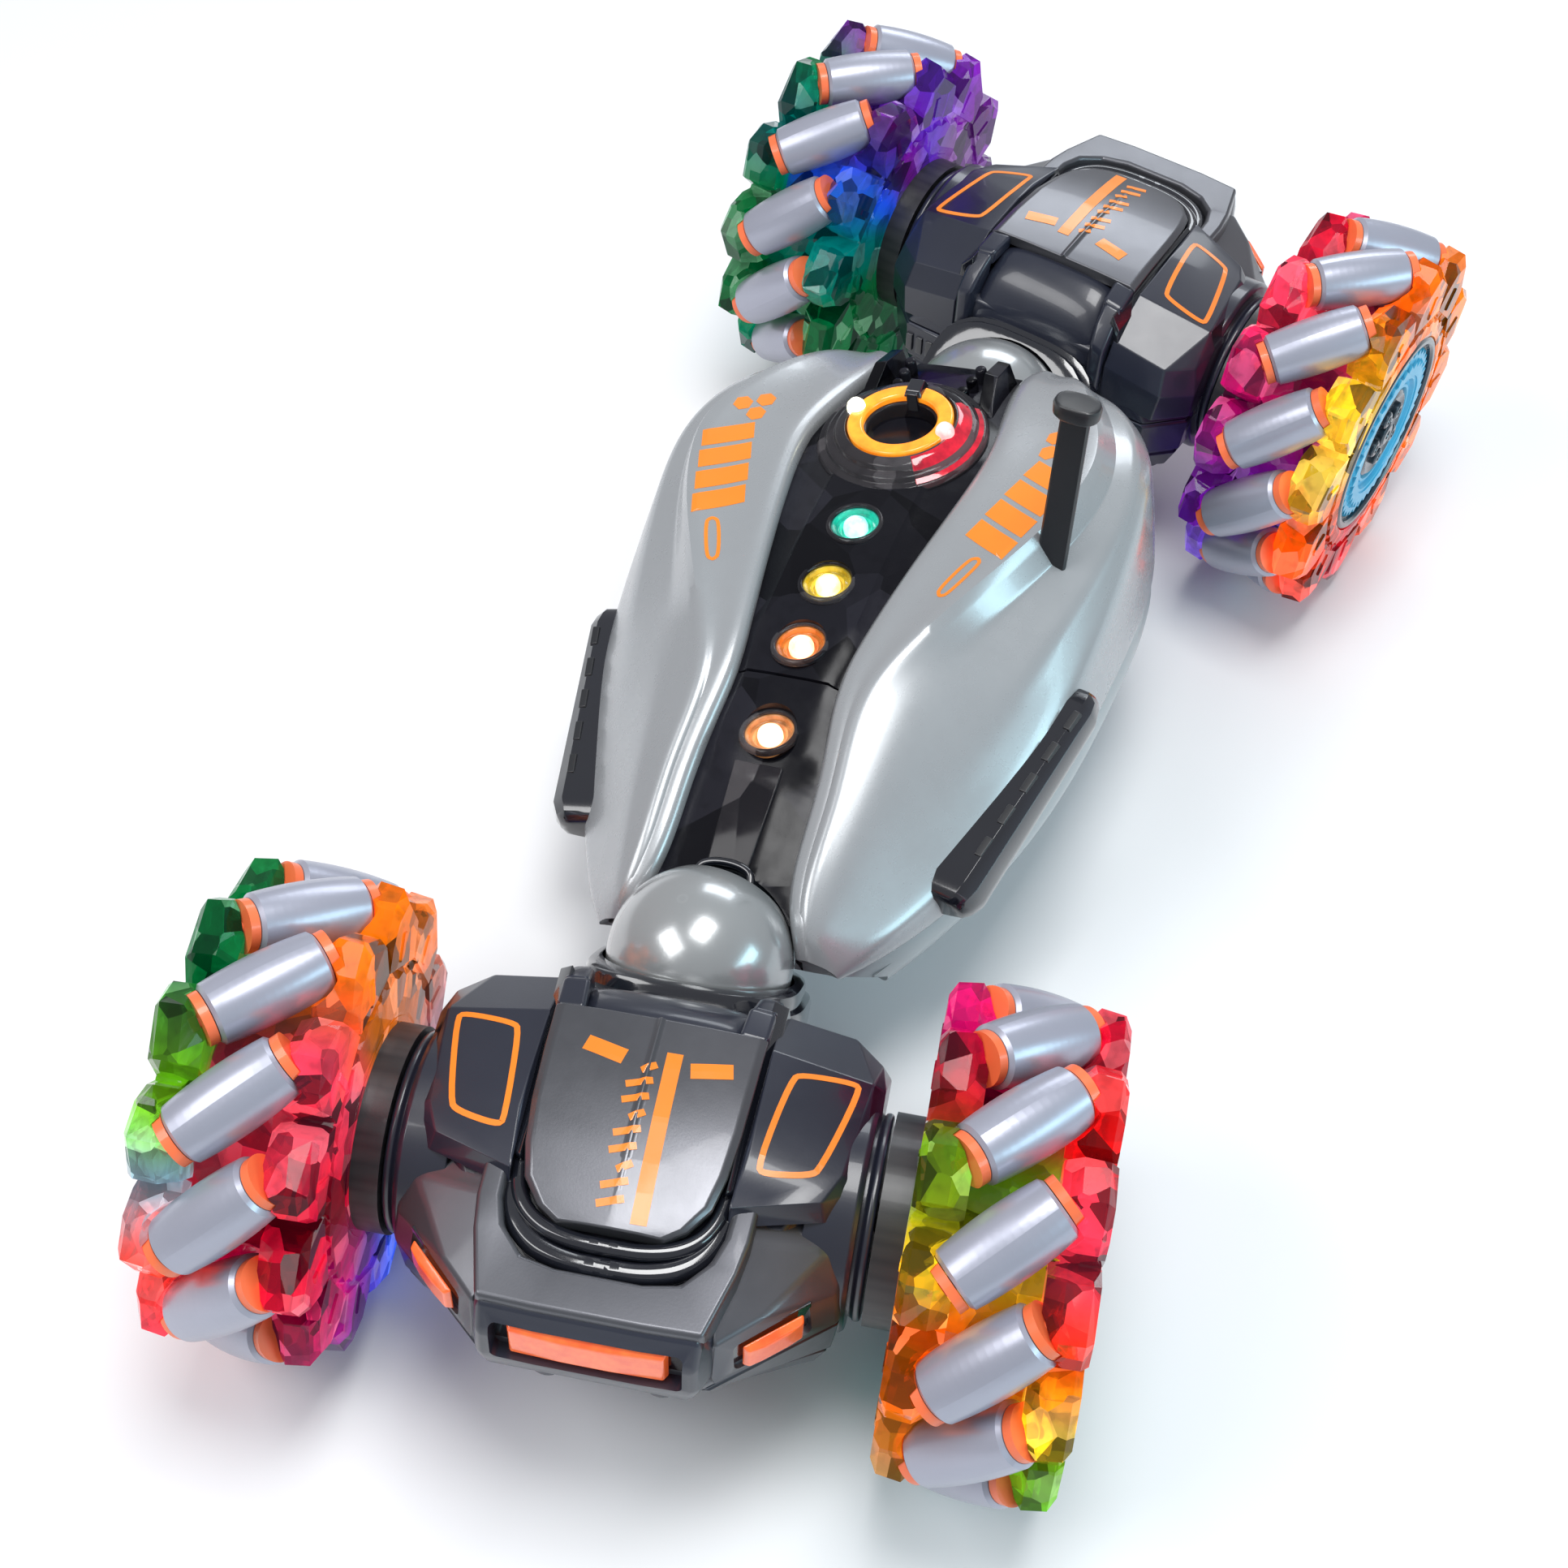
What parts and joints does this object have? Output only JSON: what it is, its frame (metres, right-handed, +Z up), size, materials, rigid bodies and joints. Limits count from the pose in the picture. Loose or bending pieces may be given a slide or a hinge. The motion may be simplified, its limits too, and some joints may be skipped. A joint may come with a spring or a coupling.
{
  "type": "rc stunt car",
  "caption": "Remote control stunt car: a long lit body between two axle modules that twist on slanted ball joints, on clear claw wheels with slanted rollers.",
  "frame": {"origin": "middle of the wheels' footprint, on the ground the car stands on", "axes": "+X along the car towards the front module, +Y to the car's left, +Z up"},
  "size_m": [0.4369, 0.2028, 0.1396],
  "materials": {
    "hull_grey": "satin silver-grey moulded plastic",
    "panel_silver": "pearl silver-grey gloss",
    "smoke": "smoked clear plastic",
    "ring_orange": "translucent orange",
    "light_lens": "clear lens",
    "black": "gloss black",
    "antenna_black": "soft matt",
    "board": "solder mask",
    "battery": "shrink wrap",
    "motor_unit": "matt",
    "screw_steel": "zinc plated",
    "charcoal": "gloss charcoal",
    "hood_charcoal": "satin charcoal metallic",
    "lamp_orange": "translucent orange",
    "motor_steel": "plated can",
    "brass": "machined",
    "axle_black": "fine satin",
    "ring_clear": "coloured crystal-clear plastic",
    "roller_grey": "silver-grey satin",
    "bush_orange": "gloss orange",
    "hub_cyan": "gloss cyan"
  },
  "bodies": {
    "body": {"lower_hull": "hull_grey", "left_panel": "panel_silver", "right_panel": "panel_silver", "spine_cover": "smoke", "spine_lid": "smoke", "ring_light": "ring_orange", "spine_lights": "light_lens", "left_step": "black", "right_step": "black", "antenna": "antenna_black", "front_ball": "panel_silver", "rear_ball": "panel_silver", "circuit_board": "board", "battery_pack": "battery", "battery_door": "hull_grey", "twist_motors": "motor_unit", "hull_screws": "screw_steel"},
    "switch_knob": {"power_switch": "black"},
    "front_module": {"front_lower_shell": "charcoal", "front_upper_shell": "charcoal", "front_hood": "hood_charcoal", "front_collar": "black", "front_lamps": "lamp_orange", "front_motors": "motor_steel", "front_screws": "screw_steel"},
    "front_left_wheel": {"front_left_axle": "axle_black", "front_left_inner_ring": "ring_clear", "front_left_outer_ring": "ring_clear", "front_left_rollers": "roller_grey", "front_left_roller_pins": "bush_orange", "front_left_hub_cap": "hub_cyan"},
    "front_left_drive": {"front_left_pinion": "brass"},
    "front_right_wheel": {"front_right_axle": "axle_black", "front_right_inner_ring": "ring_clear", "front_right_outer_ring": "ring_clear", "front_right_rollers": "roller_grey", "front_right_roller_pins": "bush_orange", "front_right_hub_cap": "hub_cyan"},
    "front_right_drive": {"front_right_pinion": "brass"},
    "rear_module": {"rear_lower_shell": "charcoal", "rear_upper_shell": "charcoal", "rear_hood": "hood_charcoal", "rear_collar": "black", "rear_lamps": "lamp_orange", "rear_motors": "motor_steel", "rear_screws": "screw_steel"},
    "rear_left_wheel": {"rear_left_axle": "axle_black", "rear_left_inner_ring": "ring_clear", "rear_left_outer_ring": "ring_clear", "rear_left_rollers": "roller_grey", "rear_left_roller_pins": "bush_orange", "rear_left_hub_cap": "hub_cyan"},
    "rear_left_drive": {"rear_left_pinion": "brass"},
    "rear_right_wheel": {"rear_right_axle": "axle_black", "rear_right_inner_ring": "ring_clear", "rear_right_outer_ring": "ring_clear", "rear_right_rollers": "roller_grey", "rear_right_roller_pins": "bush_orange", "rear_right_hub_cap": "hub_cyan"},
    "rear_right_drive": {"rear_right_pinion": "brass"}
  },
  "joints": [
    {"name": "front_twist", "type": "hinge", "parent": "body", "child": "front_module", "pos_m": [0.097, -0.01091, 0.05089], "axis": [-0.7071, -0.1405, 0.693], "range_deg": [-16, 164]},
    {"name": "front_left_spin", "type": "hinge", "parent": "front_module", "child": "front_left_wheel", "pos_m": [0.1373, 0.07356, 0.052], "axis": [-0.1949, 0.9808, 0], "continuous": true},
    {"name": "front_left_drive_spin", "type": "hinge", "parent": "front_module", "child": "front_left_drive", "pos_m": [0.16304, 0.04299, 0.05238], "axis": [-0.1949, 0.9808, 0], "continuous": true},
    {"name": "front_right_spin", "type": "hinge", "parent": "front_module", "child": "front_right_wheel", "pos_m": [0.16653, -0.07356, 0.052], "axis": [-0.1949, 0.9808, 0], "continuous": true},
    {"name": "front_right_drive_spin", "type": "hinge", "parent": "front_module", "child": "front_right_drive", "pos_m": [0.17864, -0.03547, 0.05238], "axis": [-0.1949, 0.9808, 0], "continuous": true},
    {"name": "rear_twist", "type": "hinge", "parent": "body", "child": "rear_module", "pos_m": [-0.097, -0.01091, 0.05089], "axis": [-0.7071, 0.1405, -0.693], "range_deg": [-16, 164]},
    {"name": "rear_left_spin", "type": "hinge", "parent": "rear_module", "child": "rear_left_wheel", "pos_m": [-0.1373, 0.07356, 0.052], "axis": [0.1949, 0.9808, 0], "continuous": true},
    {"name": "rear_left_drive_spin", "type": "hinge", "parent": "rear_module", "child": "rear_left_drive", "pos_m": [-0.16304, 0.04299, 0.05238], "axis": [0.1949, 0.9808, 0], "continuous": true},
    {"name": "rear_right_spin", "type": "hinge", "parent": "rear_module", "child": "rear_right_wheel", "pos_m": [-0.16653, -0.07356, 0.052], "axis": [0.1949, 0.9808, 0], "continuous": true},
    {"name": "rear_right_drive_spin", "type": "hinge", "parent": "rear_module", "child": "rear_right_drive", "pos_m": [-0.17864, -0.03547, 0.05238], "axis": [0.1949, 0.9808, 0], "continuous": true},
    {"name": "power_slide", "type": "slide", "parent": "body", "child": "switch_knob", "axis": [1, 0, 0], "range_m": [0, 0.003]}
  ],
  "couplings": [
    {"joint": "front_left_drive_spin", "follows": "front_left_spin", "ratio": -3},
    {"joint": "front_right_drive_spin", "follows": "front_right_spin", "ratio": -3},
    {"joint": "rear_left_drive_spin", "follows": "rear_left_spin", "ratio": -3},
    {"joint": "rear_right_drive_spin", "follows": "rear_right_spin", "ratio": -3}
  ]
}
